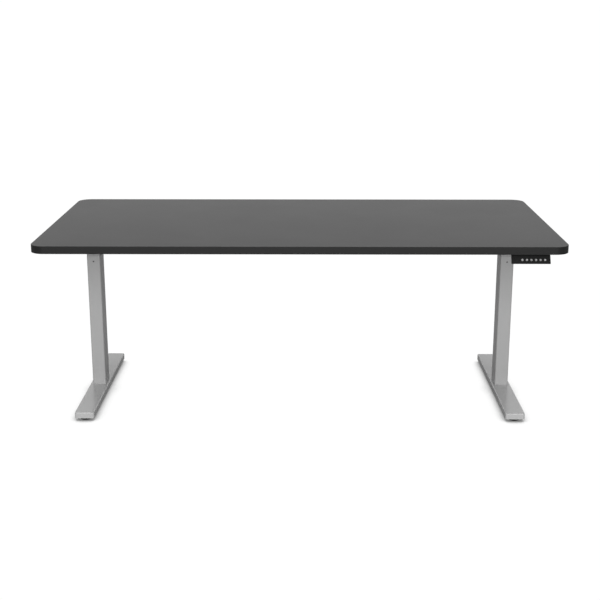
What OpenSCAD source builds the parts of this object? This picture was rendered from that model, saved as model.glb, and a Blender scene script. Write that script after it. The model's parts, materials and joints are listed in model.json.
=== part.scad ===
// Height adjustable standing desk: two three-stage telescopic columns, each lifted
// by its own gear motor, carry a steel under-frame and a rectangular worktop.
// Millimetres, +Z up. Origin: on the floor under the middle of the worktop.
// The user sits on the -Y side. The columns stand fully lowered.

/* [Worktop] */
// Width of the worktop, left to right
top_w = 1829; // [1500:1:2000]
// Depth of the worktop, front to back
top_d = 914; // [760:1:1000]
// Thickness of the worktop
top_t = 26.5; // [18:0.1:32]
// Radius of the worktop's corners
corner_r = 50; // [20:1:80]
// Height of the worktop's upper face with the columns fully lowered
desk_h = 669; // [660:1:700]

/* [Columns] */
// Distance from the middle of the desk to the middle of each column
leg_x = 776.5; // [600:0.5:800]
// Width of the fixed outer tube, left to right
outer_x = 50; // [50:1:60]
// Depth of the fixed outer tube, front to back
outer_y = 80; // [80:1:90]
// How much smaller each inner tube is than the tube around it
nest = 5; // [5:0.5:6]
// Wall thickness of the column tubes
tube_wall = 1.5; // [1.5:0.1:1.6]
// Corner radius of the outer tube
tube_r = 5; // [4:0.5:6]
// Distance from the worktop's underside to the top of the outer tube
column_drop = 103; // [100:1:120]
// Height of the plastic collar on top of the outer tube
collar_h = 10; // [6:0.5:10]
// Wall of the plastic guide liners between the tubes
liner_wall = 0.65; // [0.5:0.05:0.7]

/* [Feet] */
// Length of a foot, front to back
foot_l = 700; // [600:5:720]
// Width of a foot
foot_w = 70; // [66:1:80]
// Height of the pressed steel foot itself
foot_h = 22.5; // [20:0.5:30]
// Gap between the floor and the foot
foot_gap = 10.5; // [10:0.5:14]
// Sheet thickness of the foot
foot_skin = 3; // [2.5:0.5:4]
// Radius of a levelling glide's pad
glide_r = 20; // [16:1:24]

/* [Drive] */
// Radius of the fixed lower screw
screw_r = 7; // [6:0.5:7]
// Radius of the turning drive tube
drive_r = 11; // [11:0.5:11]
// Radius of the turning upper screw
upper_r = 14; // [14:0.5:14]
// Outer radius of the nut tube around the upper screw
nut_tube_r = 17; // [16.5:0.5:17]
// Radius of the motor's can
motor_r = 26; // [22:1:26]
// Length of the motor's can
motor_l = 120; // [90:5:140]

/* [Keypad] */
// Distance from the middle of the desk to the middle of the keypad
keypad_x = 782; // [600:1:800]
// Width of the keypad
keypad_w = 131; // [125:1:140]
// Length of the keypad's sloping face
keypad_face = 34.5; // [32:0.5:36]
// Slope of the keypad's face away from the vertical, in degrees
keypad_tilt = 29; // [20:1:35]
// How much narrower the body behind the keypad's face is, at each end
keypad_step = 10; // [8:0.5:10]
// Distance between neighbouring buttons
button_pitch = 15.3; // [14:0.1:15.5]
// Radius of a button
button_r = 4; // [3.5:0.1:4.2]

/* [Hidden] */

$fn = 48;
eps = 1;

// heights
under_z = desk_h - top_t;
foot_top = foot_gap + foot_h;
outer_top = under_z - column_drop;
flange_t = 1.5;
part_gap = 0.3;
middle_top = outer_top + collar_h + part_gap;
plate_t = 8;
plate_top = foot_top + plate_t;
middle_base = plate_top + 9;
inner_base = middle_base + 12;
liner_l = 60;
bush_screw_z = outer_top - 20;

// tubes, each nested in the one before it
middle_x = outer_x - nest;
middle_y = outer_y - nest;
inner_x = middle_x - nest;
inner_y = middle_y - nest;
middle_r = tube_r - 1;
inner_r = tube_r - 1.5;

// head and gearbox
sheet_t = 3;
head_h = 80;
head_half_x = 29;
head_half_y = 48;
channel_t = 2.5;
channel_h = 18;
channel_half_x = 38;
channel_l = 640;
web_z = under_z - channel_t;
head_z = web_z - head_h;
gearbox_z = head_z + sheet_t;
gearbox_h = 58;
gearbox_half_y = 40;
shaft_r = 8;
wheel_r = 16;
wheel_z = gearbox_z + 21;
wheel_t = 14;
worm_r = 5;
worm_half = 15;
worm_shaft_r = 3;
worm_y = wheel_r + worm_r + 0.4;
worm_z = wheel_z + wheel_t / 2;
run_gap = 0.06;

// rails between the two heads
rail_y = 25;
rail_z = 40;
rail_wall = 2;
rail_base = head_z + 12;
rail_half = leg_x + head_half_x;
bolt_offset_x = 18;
frame_bolt_r = 3;

// feet
foot_r = 8;
glide_inset = 32;
glide_y = foot_l / 2 - glide_inset;
pad_h = 7;
stud_r = 4;
boss_r = 10;
foot_bolt_x = 13;
foot_bolt_y = 26;

// control box
box_w = 270;
box_d = 100;
box_h = 34;
box_wall = 2.5;
box_y = 150;
ear = 15;
socket_w = 14;
socket_h = 8;
socket_deep = 10;
inlet_w = 28;
inlet_h = 20;
inlet_deep = 16;

// keypad: heights and depths from its brow, under the worktop's edge
keypad_y = -440;
lip_y = -keypad_face * sin(keypad_tilt);
lip_z = -keypad_face * cos(keypad_tilt);
belly_z = lip_z - 2.2;
body_w = keypad_w - 2 * keypad_step;
board_w = body_w - 7;
panel_t = 2.5;
panel_w = keypad_w - 5;
panel_h = keypad_face - 4;
button_z = -21.7;
first_button = -keypad_w / 2 + 36;
button_proud = 0.8;

// wood screws into the worktop
wood_shank_r = 2.2;
wood_head_r = 4.2;
wood_head_h = 2.5;
wood_bite = 16;
bracket_screw_y = [-300, -190, -80, 80, 190, 300];
bracket_screws = [for (s = [-1, 1], y = bracket_screw_y) [s * leg_x, y, web_z]];
box_screws = [for (sx = [-1, 1], sy = [-1, 1])
    [sx * (box_w + ear) / 2, box_y + sy * box_d * 0.35, web_z]];
keypad_screw_y = keypad_y + 40;
keypad_screw_z = under_z - 5;
keypad_screws = [for (s = [-1, 1]) [keypad_x + s * 45, keypad_screw_y, keypad_screw_z]];
all_screws = concat(bracket_screws, box_screws, keypad_screws);

steel_paint = [0.62, 0.62, 0.62];
bare_steel = [0.75, 0.76, 0.78];
black_plastic = [0.1, 0.1, 0.11];
grey_plastic = [0.58, 0.58, 0.58];
white_plastic = [0.88, 0.88, 0.85];
brass = [0.78, 0.62, 0.3];

// ---------- helpers ----------

// A rectangle with round corners, centred on the origin
module rounded_rect(w, d, r) {
    square([w - 2 * r, d], center = true);
    square([w, d - 2 * r], center = true);
    for (sx = [-1, 1], sy = [-1, 1])
        translate([sx * (w / 2 - r), sy * (d / 2 - r)]) circle(r);
}

// A rounded bar from z0 to z1
module bar(w, d, r, z0, z1) {
    translate([0, 0, z0]) linear_extrude(z1 - z0) rounded_rect(w, d, r);
}

// A rounded tube from z0 to z1, with the given wall
module tube(w, d, r, wall, z0, z1) {
    translate([0, 0, z0]) linear_extrude(z1 - z0) difference() {
        rounded_rect(w, d, r);
        rounded_rect(w - 2 * wall, d - 2 * wall, r - wall);
    }
}

// A round rod from z0 to z1
module rod(r, z0, z1) {
    translate([0, 0, z0]) cylinder(r = r, h = z1 - z0);
}

// A round rod along X from x0 to x1
module x_rod(r, x0, x1) {
    translate([x0, 0, 0]) rotate([0, 90, 0]) cylinder(r = r, h = x1 - x0);
}

// A round rod along Y from y0 to y1
module y_rod(r, y0, y1) {
    translate([0, y1, 0]) rotate([90, 0, 0]) cylinder(r = r, h = y1 - y0);
}

// Places a leg's pieces: side is -1 for left, 1 for right, and local +X points outwards
module at_leg(side) {
    translate([side * leg_x, 0, 0]) mirror([side < 0 ? 1 : 0, 0, 0]) children();
}

// Places a piece in the frame of the keypad's face: +X along it, +Z up its slope, +Y into it
module at_keypad() {
    translate([keypad_x, keypad_y, under_z]) rotate([-keypad_tilt, 0, 0]) children();
}

// ---------- feet and outer tubes ----------

module foot() {
    difference() {
        union() {
            difference() {
                bar(foot_w, foot_l, foot_r, foot_gap, foot_top);
                bar(foot_w - 2 * foot_skin, foot_l - 2 * foot_skin, foot_r - foot_skin,
                    foot_gap - eps, foot_top - foot_skin);
            }
            for (s = [-1, 1]) translate([0, s * glide_y, 0]) rod(boss_r, foot_gap, foot_top - eps);
        }
        for (s = [-1, 1]) translate([0, s * glide_y, 0])
            rod(stud_r + 0.08, foot_gap - eps, foot_top - foot_skin);
        for (sx = [-1, 1], sy = [-1, 1]) translate([sx * foot_bolt_x, sy * foot_bolt_y, 0])
            rod(4.5, foot_gap, foot_top + eps);
    }
}

module outer_tube() {
    difference() {
        tube(outer_x, outer_y, tube_r, tube_wall, foot_top, outer_top);
        for (s = [-1, 1]) translate([0, s * outer_y / 2, bush_screw_z]) y_rod(2, -3, 3);
    }
}

module base_plate() {
    difference() {
        bar(outer_x - 2 * tube_wall, outer_y - 2 * tube_wall, tube_r - tube_wall, foot_top, plate_top);
        for (sx = [-1, 1], sy = [-1, 1]) translate([sx * foot_bolt_x, sy * foot_bolt_y, 0])
            rod(4.05, foot_top - eps, plate_top + eps);
    }
}

// A plastic liner inside a tube's open end, with a rim that caps the tube
module bush(w, d, r, z, rim_h) {
    bore_w = w - 2 * tube_wall - 2 * liner_wall;
    bore_d = d - 2 * tube_wall - 2 * liner_wall;
    bore_r = r - tube_wall - liner_wall;
    difference() {
        union() {
            bar(w - 2 * tube_wall, d - 2 * tube_wall, r - tube_wall, z - liner_l, z);
            bar(w - 0.6, d - 0.6, r - 0.3, z, z + rim_h);
        }
        bar(bore_w, bore_d, bore_r, z - liner_l - eps, z + rim_h + eps);
    }
}

module lower_bush() {
    difference() {
        bush(outer_x, outer_y, tube_r, outer_top, collar_h);
        for (s = [-1, 1]) translate([0, s * outer_y / 2, bush_screw_z]) y_rod(2, -3, 3);
    }
}

// Button-head screw that pins the lower bush, on the -Y face
module bush_screw() {
    bush_half = outer_y / 2 - tube_wall - liner_wall;
    translate([0, 0, bush_screw_z]) {
        difference() {
            y_rod(3, -outer_y / 2 - 1.2, -outer_y / 2);
            translate([0, -outer_y / 2 - 1.2 - eps, 0]) rotate([-90, 0, 0]) cylinder(r = 1.3, h = 1.8, $fn = 6);
        }
        y_rod(2, -outer_y / 2, -bush_half);
    }
}

module foot_bolt() {
    head_h = 5;
    difference() {
        rod(6.5, foot_top - foot_skin - head_h, foot_top - foot_skin);
        translate([0, 0, foot_top - foot_skin - head_h - eps]) cylinder(r = 2.9, h = 3.5, $fn = 6);
    }
    rod(4, foot_top - foot_skin, plate_top);
}

// Levelling glide: round pad, hexagon for a spanner and threaded stud
module glide() {
    chamfer = 1.5;
    rotate_extrude() polygon([[0, 0], [glide_r - chamfer, 0], [glide_r, chamfer],
        [glide_r, pad_h - chamfer], [glide_r - 2 * chamfer, pad_h], [0, pad_h]]);
    translate([0, 0, pad_h]) cylinder(r = 7.5, h = 3, $fn = 6);
    rod(stud_r, pad_h, foot_top - foot_skin - 0.5);
}

module left_foot() { color(steel_paint) at_leg(-1) foot(); }
module right_foot() { color(steel_paint) at_leg(1) foot(); }
module left_outer_tube() { color(steel_paint) at_leg(-1) outer_tube(); }
module right_outer_tube() { color(steel_paint) at_leg(1) outer_tube(); }
module left_base_plate() { color(bare_steel) at_leg(-1) base_plate(); }
module right_base_plate() { color(bare_steel) at_leg(1) base_plate(); }
module left_lower_bush() { color(grey_plastic) at_leg(-1) lower_bush(); }
module right_lower_bush() { color(grey_plastic) at_leg(1) lower_bush(); }

module foot_bolts() {
    color(bare_steel) for (side = [-1, 1], sx = [-1, 1], sy = [-1, 1])
        translate([side * leg_x + sx * foot_bolt_x, sy * foot_bolt_y, 0]) foot_bolt();
}

module bush_screws() {
    color(bare_steel) for (side = [-1, 1], turn = [0, 180])
        translate([side * leg_x, 0, 0]) rotate([0, 0, turn]) bush_screw();
}

module place_glide(side, end) {
    color(black_plastic) translate([side * leg_x, end * glide_y, 0]) glide();
}

module front_left_glide() { place_glide(-1, -1); }
module back_left_glide() { place_glide(-1, 1); }
module front_right_glide() { place_glide(1, -1); }
module back_right_glide() { place_glide(1, 1); }

// ---------- lifting drive ----------

// Fixed screw that stands on the base plate
module lower_screw() {
    rod(screw_r, plate_top, outer_top - 42);
    rod(14, plate_top, plate_top + 5);
}

module middle_plate() {
    difference() {
        bar(middle_x - 2 * tube_wall, middle_y - 2 * tube_wall, middle_r - tube_wall,
            middle_base, middle_base + plate_t);
        rod(drive_r + run_gap, middle_base - eps, middle_base + plate_t + eps);
    }
}

// Turning tube: its nut end climbs the fixed screw, its long end slides in the upper screw
module drive_tube() {
    nut_l = 34;
    top_z = outer_top - 37;
    seat_z = middle_base + plate_t + part_gap;
    difference() {
        union() {
            rod(drive_r, middle_base + 1, top_z);
            rod(upper_r, seat_z, seat_z + 4);
        }
        rod(screw_r + run_gap, middle_base, middle_base + nut_l);
        rod(screw_r + 0.6, middle_base + nut_l - eps, top_z + eps);
    }
}

// Post on the middle plate that holds the upper nut
module nut_tube() {
    difference() {
        rod(nut_tube_r, middle_base + plate_t, outer_top - 86);
        rod(upper_r + 0.5, middle_base, outer_top);
    }
}

module upper_nut() {
    difference() {
        rod(nut_tube_r, outer_top - 86, outer_top - 56);
        rod(upper_r + run_gap, outer_top - 87, outer_top - 55);
    }
}

// Hollow screw that hangs from the gearbox and turns in the upper nut
module upper_screw() {
    neck_z = gearbox_z - 7;
    difference() {
        rod(upper_r, middle_base + 16, neck_z);
        rod(drive_r + part_gap, middle_base, neck_z - 8);
    }
    rod(shaft_r, neck_z, wheel_z + wheel_t + 5);
}

module worm_wheel() {
    difference() {
        rod(wheel_r, wheel_z, wheel_z + wheel_t);
        rod(shaft_r, wheel_z - eps, wheel_z + wheel_t + eps);
    }
}

module worm() {
    translate([0, worm_y, worm_z]) {
        x_rod(worm_r, -worm_half, worm_half);
        x_rod(worm_shaft_r, -head_half_x - 22, worm_half + 7);
    }
}

// Gear housing, bored for the screw's shaft, the worm wheel and the worm
module gearbox() {
    difference() {
        translate([-head_half_x, -gearbox_half_y, gearbox_z])
            cube([2 * head_half_x, 2 * gearbox_half_y, gearbox_h]);
        rod(shaft_r + run_gap, gearbox_z - eps, wheel_z + wheel_t + 6);
        rod(wheel_r + 0.6, wheel_z - 1, wheel_z + wheel_t + 1);
        translate([0, worm_y, worm_z]) {
            x_rod(worm_r + 0.6, -worm_half - 2, worm_half + 2);
            x_rod(worm_shaft_r + run_gap, -head_half_x - eps, worm_half + 8);
        }
    }
}

module motor() {
    shaft_hole = 25;
    translate([0, worm_y, worm_z]) difference() {
        union() {
            x_rod(motor_r, -head_half_x - motor_l + 12, -head_half_x);
            x_rod(motor_r - 3, -head_half_x - motor_l, -head_half_x - motor_l + 12);
        }
        x_rod(worm_shaft_r + run_gap, -head_half_x - shaft_hole, -head_half_x + eps);
    }
}

module left_lower_screw() { color(bare_steel) at_leg(-1) lower_screw(); }
module right_lower_screw() { color(bare_steel) at_leg(1) lower_screw(); }
module left_middle_plate() { color(bare_steel) at_leg(-1) middle_plate(); }
module right_middle_plate() { color(bare_steel) at_leg(1) middle_plate(); }
module left_nut_tube() { color(bare_steel) at_leg(-1) nut_tube(); }
module right_nut_tube() { color(bare_steel) at_leg(1) nut_tube(); }
module left_upper_nut() { color(white_plastic) at_leg(-1) upper_nut(); }
module right_upper_nut() { color(white_plastic) at_leg(1) upper_nut(); }
module left_drive_tube() { color(bare_steel) at_leg(-1) drive_tube(); }
module right_drive_tube() { color(bare_steel) at_leg(1) drive_tube(); }
module left_upper_screw() { color(bare_steel) at_leg(-1) upper_screw(); }
module right_upper_screw() { color(bare_steel) at_leg(1) upper_screw(); }
module left_worm_wheel() { color(white_plastic) at_leg(-1) worm_wheel(); }
module right_worm_wheel() { color(white_plastic) at_leg(1) worm_wheel(); }
module left_worm() { color(brass) at_leg(-1) worm(); }
module right_worm() { color(brass) at_leg(1) worm(); }
module left_gearbox() { color(black_plastic) at_leg(-1) gearbox(); }
module right_gearbox() { color(black_plastic) at_leg(1) gearbox(); }
module left_motor() { color(black_plastic) at_leg(-1) motor(); }
module right_motor() { color(black_plastic) at_leg(1) motor(); }

// ---------- moving tubes ----------

module middle_tube() {
    tube(middle_x, middle_y, middle_r, tube_wall, middle_base, middle_top);
}

module upper_bush() {
    bush(middle_x, middle_y, middle_r, middle_top, flange_t);
}

module inner_tube() {
    tube(inner_x, inner_y, inner_r, tube_wall, inner_base, gearbox_z);
}

module left_middle_tube() { color(steel_paint) at_leg(-1) middle_tube(); }
module right_middle_tube() { color(steel_paint) at_leg(1) middle_tube(); }
module left_upper_bush() { color(grey_plastic) at_leg(-1) upper_bush(); }
module right_upper_bush() { color(grey_plastic) at_leg(1) upper_bush(); }
module left_inner_tube() { color(steel_paint) at_leg(-1) inner_tube(); }
module right_inner_tube() { color(steel_paint) at_leg(1) inner_tube(); }

// ---------- under-frame ----------

// Folded steel box around the gearbox, open towards the middle of the desk
module head() {
    difference() {
        translate([-head_half_x, -head_half_y, head_z])
            cube([2 * head_half_x + channel_t, 2 * head_half_y, head_h]);
        translate([-head_half_x - eps, -head_half_y + sheet_t, gearbox_z])
            cube([2 * head_half_x + eps, 2 * (head_half_y - sheet_t), head_h - 2 * sheet_t]);
        bar(inner_x, inner_y, inner_r, head_z - eps, gearbox_z + eps);
        for (sx = [-1, 1], sy = [-1, 1])
            translate([sx * bolt_offset_x, sy * head_half_y, rail_base + rail_z / 2])
                y_rod(frame_bolt_r, -5, 5);
    }
}

// Channel under the worktop, front to back, with tapered flanges
module side_bracket() {
    taper = 60;
    low = 6;
    half = channel_l / 2;
    profile = [[-half, 0], [half, 0], [half, -low], [half - taper, -channel_h],
        [taper - half, -channel_h], [-half, -low]];
    difference() {
        translate([-channel_half_x, 0, under_z]) rotate([90, 0, 90])
            linear_extrude(2 * channel_half_x) polygon(profile);
        translate([channel_t - channel_half_x, -channel_l, web_z - channel_h - eps])
            cube([2 * (channel_half_x - channel_t), 2 * channel_l, channel_h + eps]);
        for (y = bracket_screw_y) translate([0, y, 0]) rod(wood_shank_r + 0.4, web_z - eps, under_z + eps);
    }
}

// Rectangular tube that joins the two heads; side is -1 at the front
module rail(side) {
    translate([0, side * (head_half_y + rail_y / 2), rail_base + rail_z / 2]) difference() {
        translate([-rail_half, -rail_y / 2, -rail_z / 2]) cube([2 * rail_half, rail_y, rail_z]);
        translate([-rail_half - eps, rail_wall - rail_y / 2, rail_wall - rail_z / 2])
            cube([2 * (rail_half + eps), rail_y - 2 * rail_wall, rail_z - 2 * rail_wall]);
        for (leg = [-1, 1], sx = [-1, 1]) translate([leg * leg_x + sx * bolt_offset_x, 0, 0])
            y_rod(frame_bolt_r + 0.1, -rail_y, rail_y);
    }
}

// Bolt through a rail into the head, drawn for the -Y side
module frame_bolt() {
    outside = -head_half_y - rail_y;
    head_h = 3.5;
    difference() {
        y_rod(5.5, outside - head_h, outside);
        translate([0, outside - head_h - eps, 0]) rotate([-90, 0, 0]) cylinder(r = 2.3, h = 3, $fn = 6);
    }
    y_rod(frame_bolt_r, outside, sheet_t - head_half_y + 2);
}

module left_head() { color(steel_paint) at_leg(-1) head(); }
module right_head() { color(steel_paint) at_leg(1) head(); }
module left_side_bracket() { color(steel_paint) at_leg(-1) side_bracket(); }
module right_side_bracket() { color(steel_paint) at_leg(1) side_bracket(); }
module front_rail() { color(steel_paint) rail(-1); }
module back_rail() { color(steel_paint) rail(1); }

module frame_bolts() {
    color(bare_steel) for (leg = [-1, 1], sx = [-1, 1], turn = [0, 180])
        translate([leg * leg_x + sx * bolt_offset_x, 0, rail_base + rail_z / 2])
            rotate([0, 0, turn]) frame_bolt();
}

// ---------- worktop ----------

module tabletop() {
    color([0.16, 0.16, 0.16]) difference() {
        bar(top_w, top_d, corner_r, under_z, desk_h);
        for (p = all_screws) translate([p[0], p[1], 0]) rod(wood_shank_r, under_z - eps, under_z + wood_bite);
    }
}

// A pan-head wood screw with its head's upper face at the origin
module wood_screw(reach) {
    difference() {
        rod(wood_head_r, -wood_head_h, 0);
        for (turn = [0, 90]) rotate([0, 0, turn]) translate([-2.2, -0.5, -wood_head_h - eps])
            cube([4.4, 1, 1 + eps]);
    }
    rod(wood_shank_r, 0, reach);
}

module wood_screws() {
    color(bare_steel) for (p = all_screws) translate(p) wood_screw(under_z + wood_bite - p[2]);
}

// ---------- control box ----------

// Places a pocket for a plug: the motors' and the keypad's on the front, the mains inlet behind
module at_sockets() {
    for (x = [-90, -60, 60]) translate([x, box_y - box_d / 2, web_z - 16]) children(0);
    translate([-85, box_y + box_d / 2, web_z - 16]) children(1);
}

module control_box() {
    base_z = under_z - box_h;
    color(black_plastic) difference() {
        union() {
            difference() {
                translate([-box_w / 2, box_y - box_d / 2, base_z]) cube([box_w, box_d, web_z - base_z]);
                translate([box_wall - box_w / 2, box_y - box_d / 2 + box_wall, base_z + box_wall])
                    cube([box_w - 2 * box_wall, box_d - 2 * box_wall, web_z - base_z]);
            }
            at_sockets() {
                translate([-socket_w / 2 - 2, 0, -socket_h / 2 - 2])
                    cube([socket_w + 4, socket_deep + 2, socket_h + 4]);
                translate([-inlet_w / 2 - 2, -inlet_deep - 2, -inlet_h / 2 - 2])
                    cube([inlet_w + 4, inlet_deep + 2, inlet_h + 4]);
            }
        }
        at_sockets() {
            translate([-socket_w / 2, -eps, -socket_h / 2])
                cube([socket_w, socket_deep + eps, socket_h]);
            translate([-inlet_w / 2, -inlet_deep, -inlet_h / 2])
                cube([inlet_w, inlet_deep + eps, inlet_h]);
        }
    }
}

module control_box_lid() {
    color(black_plastic) difference() {
        translate([0, box_y, 0]) bar(box_w + 2 * ear, box_d, 5, web_z, under_z);
        for (p = box_screws) translate([p[0], p[1], 0]) rod(wood_shank_r + 0.2, web_z - eps, under_z + eps);
    }
}

// ---------- keypad ----------

// Side outline of the keypad's body: sloping face, lower lip and a belly that rises to the back
function body_outline(inset) =
    [[inset * 1.4, -inset], [lip_y + inset * 1.2, lip_z + inset * 0.3],
     [lip_y + 3 + inset * 0.7, belly_z + inset], [20 - inset * 0.4, belly_z + inset],
     [58 - inset, inset - 14], [58 - inset, -inset]];

// Side outline of the wider frame round the keypad's face
bezel_outline = [[0, 0], [lip_y, lip_z], [lip_y + 3, belly_z], [lip_y + 9, belly_z], [8, 0]];

module keypad_slab(w, outline) {
    translate([keypad_x - w / 2, keypad_y, under_z]) rotate([90, 0, 90])
        linear_extrude(w) polygon(outline);
}

module keypad_housing() {
    color(black_plastic) difference() {
        union() {
            difference() {
                union() {
                    keypad_slab(keypad_w, bezel_outline);
                    keypad_slab(body_w, body_outline(0));
                }
                keypad_slab(body_w - 5, body_outline(2.5));
                at_keypad() translate([-panel_w / 2, -eps, -keypad_face / 2 - panel_h / 2])
                    cube([panel_w, 4 + eps, panel_h]);
            }
            for (p = keypad_screws) translate([p[0], p[1], 0])
                rod(6.5, under_z - 20, under_z - eps);
        }
        for (p = keypad_screws) translate([p[0], p[1], 0]) {
            rod(5, under_z - keypad_face, keypad_screw_z);
            rod(wood_shank_r + 0.2, keypad_screw_z - eps, under_z + eps);
        }
    }
}

// Sloping front panel, with a hole for each button and a shallow display window
module keypad_front() {
    color(black_plastic) at_keypad() difference() {
        translate([part_gap - panel_w / 2, 0, part_gap - keypad_face / 2 - panel_h / 2])
            cube([panel_w - 2 * part_gap, panel_t, panel_h - 2 * part_gap]);
        for (i = [0:5]) translate([first_button + i * button_pitch, 0, button_z])
            y_rod(button_r + part_gap, -eps, panel_t + eps);
        translate([-keypad_w / 2 + 6, -eps, button_z - 6]) cube([22, eps + 0.5, 12]);
    }
}

module keypad_board() {
    color("darkgreen") at_keypad() translate([-board_w / 2, 7, -keypad_face / 2 - 11])
        cube([board_w, 1.6, 22]);
}

// A button: round cap through the panel and a collar behind it
module button(index) {
    color(grey_plastic) at_keypad() translate([first_button + index * button_pitch, 0, button_z]) {
        y_rod(button_r, -button_proud, 5.5);
        y_rod(button_r + 1.2, panel_t + part_gap, panel_t + part_gap + 1);
    }
}

module up_button() { button(0); }
module down_button() { button(1); }
module preset_1_button() { button(2); }
module preset_2_button() { button(3); }
module preset_3_button() { button(4); }
module memory_button() { button(5); }

left_foot();
right_foot();
left_outer_tube();
right_outer_tube();
left_base_plate();
right_base_plate();
left_lower_bush();
right_lower_bush();
left_lower_screw();
right_lower_screw();
foot_bolts();
bush_screws();
left_middle_tube();
right_middle_tube();
left_upper_bush();
right_upper_bush();
left_middle_plate();
right_middle_plate();
left_nut_tube();
right_nut_tube();
left_upper_nut();
right_upper_nut();
left_drive_tube();
right_drive_tube();
left_upper_screw();
right_upper_screw();
left_worm_wheel();
right_worm_wheel();
left_worm();
right_worm();
left_inner_tube();
right_inner_tube();
left_gearbox();
right_gearbox();
left_motor();
right_motor();
left_head();
right_head();
left_side_bracket();
right_side_bracket();
front_rail();
back_rail();
frame_bolts();
tabletop();
wood_screws();
control_box();
control_box_lid();
keypad_housing();
keypad_front();
keypad_board();
up_button();
down_button();
preset_1_button();
preset_2_button();
preset_3_button();
memory_button();
front_left_glide();
back_left_glide();
front_right_glide();
back_right_glide();
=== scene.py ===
"""Looks of a height adjustable standing desk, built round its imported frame.

Metres, +Z up. The user sits on the -Y side. Each piece is drawn where its CAD node lies.
"""

import json
import math

import bmesh
import bpy
from mathutils import Matrix, Vector


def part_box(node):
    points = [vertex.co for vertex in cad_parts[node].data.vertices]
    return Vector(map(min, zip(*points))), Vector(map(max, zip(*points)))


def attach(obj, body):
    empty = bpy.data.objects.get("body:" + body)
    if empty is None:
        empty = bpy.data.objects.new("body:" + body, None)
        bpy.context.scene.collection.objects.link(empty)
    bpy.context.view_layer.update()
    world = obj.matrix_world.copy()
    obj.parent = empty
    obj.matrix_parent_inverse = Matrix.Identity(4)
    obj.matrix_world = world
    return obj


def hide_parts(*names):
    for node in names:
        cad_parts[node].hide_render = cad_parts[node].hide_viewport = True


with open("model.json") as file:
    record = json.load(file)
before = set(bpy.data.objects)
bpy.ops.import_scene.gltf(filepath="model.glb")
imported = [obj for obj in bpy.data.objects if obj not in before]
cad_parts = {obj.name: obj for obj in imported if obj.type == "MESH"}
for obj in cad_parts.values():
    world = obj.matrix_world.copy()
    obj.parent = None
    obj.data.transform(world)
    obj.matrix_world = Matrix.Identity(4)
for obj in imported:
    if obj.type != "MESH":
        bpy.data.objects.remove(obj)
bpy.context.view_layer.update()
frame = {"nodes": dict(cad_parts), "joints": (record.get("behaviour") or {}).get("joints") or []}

LEGS = {"left": -1, "right": 1}
MM = 0.001
TIGHT = 0.05 * MM
HERE = Matrix.Identity(4)

# faces that meet at more than this angle keep a sharp edge between them
CREASE = math.radians(38)
# how bright the room and its floor look
ROOM_WHITE = 1.02

# sizes that the design gives and that a node's box doesn't
TOP_CORNER = 50 * MM
BAND = 2 * MM
TUBE_WALL = 1.5 * MM
LINER_WALL = 0.65 * MM
TUBE_CORNERS = {"outer": 5 * MM, "middle": 4 * MM, "inner": 3.5 * MM}
FOOT_CORNER = 8 * MM
FOOT_SKIN = 3 * MM
KEYPAD_FACE = 34.5 * MM
KEYPAD_STEP = 10 * MM
KEYPAD_SCREW_SPREAD = 45 * MM
KEYPAD_SCREW_INSET = 18 * MM
BUTTON_DROP = 21.7 * MM


# ---------- places ----------

def low(node):
    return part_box(node)[0]


def high(node):
    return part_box(node)[1]


def middle(node):
    return (low(node) + high(node)) / 2


def span(node):
    return high(node) - low(node)


def at(x=0.0, y=0.0, z=0.0):
    return Matrix.Translation((x, y, z))


def standing_on(node):
    """The frame in the middle of a node's box seen from above, at the floor's height."""
    centre = middle(node)
    return at(centre.x, centre.y)


def facing(origin, across, out):
    """The frame at origin whose +X is across and whose +Z is out."""
    across, out = Vector(across).normalized(), Vector(out).normalized()
    turned = Matrix((across, out.cross(across), out)).transposed().to_4x4()
    return Matrix.Translation(origin) @ turned


# ---------- outlines and profiles ----------

def rounded_rectangle(width, depth, radius, steps=6):
    """A rectangle with round corners, anticlockwise round the origin."""
    points = []
    for corner, (sx, sy) in enumerate(((1, 1), (-1, 1), (-1, -1), (1, -1))):
        for step in range(steps + 1):
            turn = math.pi / 2 * (corner + step / steps)
            points.append((sx * (width / 2 - radius) + radius * math.cos(turn),
                           sy * (depth / 2 - radius) + radius * math.sin(turn)))
    return points


def ring(radius, count=40):
    return [(radius * math.cos(math.tau * i / count), radius * math.sin(math.tau * i / count))
            for i in range(count)]


def hexagon(flat_radius, count=24):
    """A hexagon of the given half width across flats, with points along its sides."""
    points = []
    for i in range(count):
        turn = math.tau * i / count
        from_flat = (turn + math.pi / 6) % (math.pi / 3) - math.pi / 6
        radius = flat_radius / math.cos(from_flat)
        points.append((radius * math.cos(turn), radius * math.sin(turn)))
    return points


def cross(arm, half, count=24):
    """A plus sign with arms of the given length and half width, with count points, a multiple of 4."""
    points = []
    for i in range(count):
        turn = math.tau * i / count
        c, s = math.cos(turn), math.sin(turn)
        along, aside = max(abs(c), abs(s)), min(abs(c), abs(s))
        reach = min(arm / along, half / aside if aside > 1e-6 else arm / along)
        reach = max(reach, half / along)
        points.append((reach * c, reach * s))
    return points


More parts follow.
